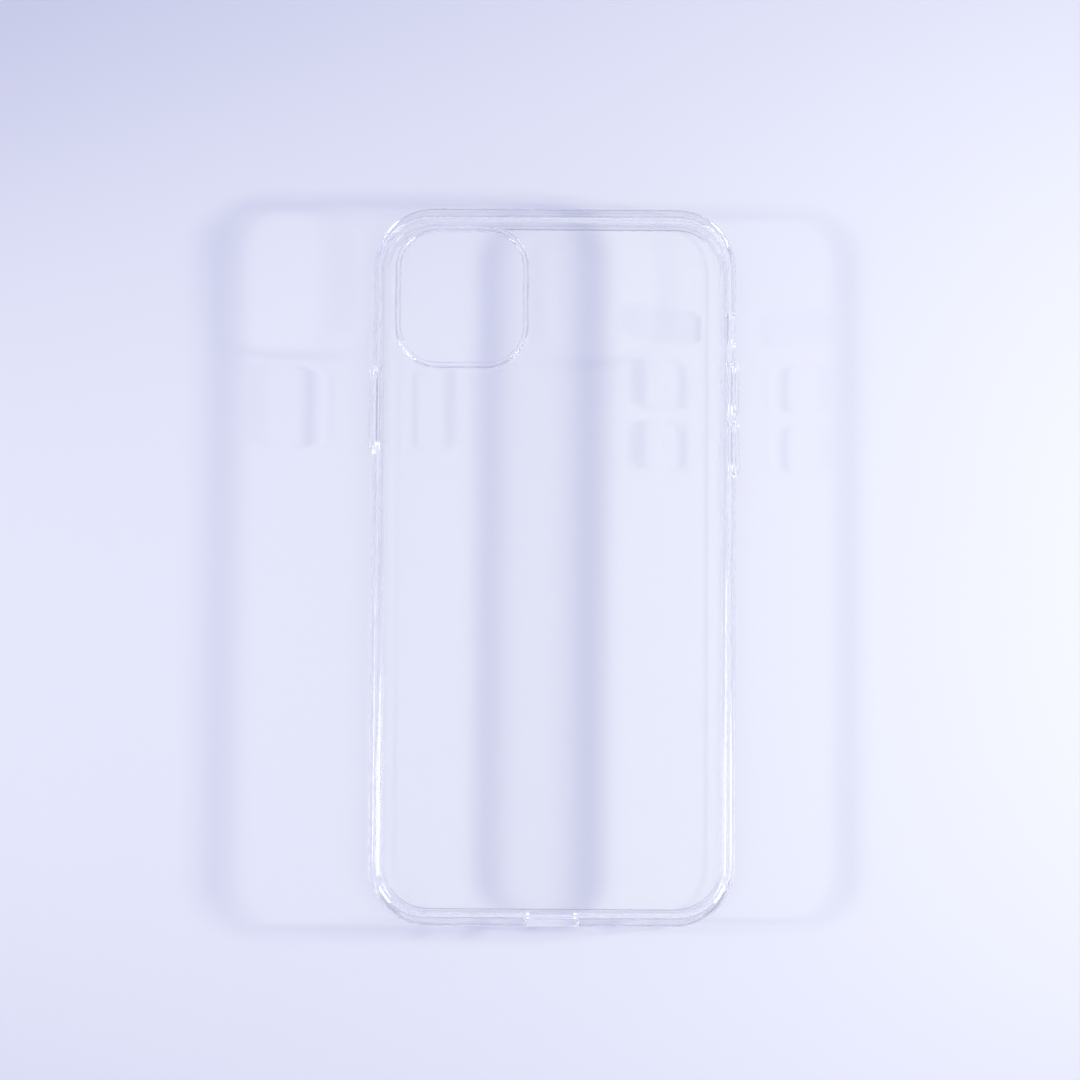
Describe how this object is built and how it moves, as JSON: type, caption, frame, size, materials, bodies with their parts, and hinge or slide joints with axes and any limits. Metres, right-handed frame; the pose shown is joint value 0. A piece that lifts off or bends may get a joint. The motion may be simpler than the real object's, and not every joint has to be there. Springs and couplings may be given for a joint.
{
  "type": "phone case",
  "caption": "Slim clear phone case with a raised camera rim, sprung button covers, a mute switch window and a charging window.",
  "frame": {"origin": "middle of the footprint on the plane of the front lip, on which the case lies with its back up", "axes": "+Z is the outward normal of the back, +Y points to the camera end, +X to the volume button side"},
  "size_m": [0.0804, 0.1554, 0.0117],
  "materials": {
    "clear_soft": "clear glossy soft plastic",
    "clear_hard": "clear glossy hard plastic"
  },
  "bodies": {
    "case_shell": {"bumper_frame": "clear_soft", "back_panel": "clear_hard", "camera_rim": "clear_soft"},
    "power_cover": {"power_button_cover": "clear_soft"},
    "volume_up": {"volume_up_cover": "clear_soft"},
    "volume_down": {"volume_down_cover": "clear_soft"}
  },
  "joints": [
    {"name": "power_press", "type": "slide", "parent": "case_shell", "child": "power_cover", "axis": [1, 0, 0], "range_m": [0, 0.0004], "stiffness_N_per_m": 5000},
    {"name": "volume_up_press", "type": "slide", "parent": "case_shell", "child": "volume_up", "axis": [-1, 0, 0], "range_m": [0, 0.0004], "stiffness_N_per_m": 5000},
    {"name": "volume_down_press", "type": "slide", "parent": "case_shell", "child": "volume_down", "axis": [-1, 0, 0], "range_m": [0, 0.0004], "stiffness_N_per_m": 5000}
  ]
}
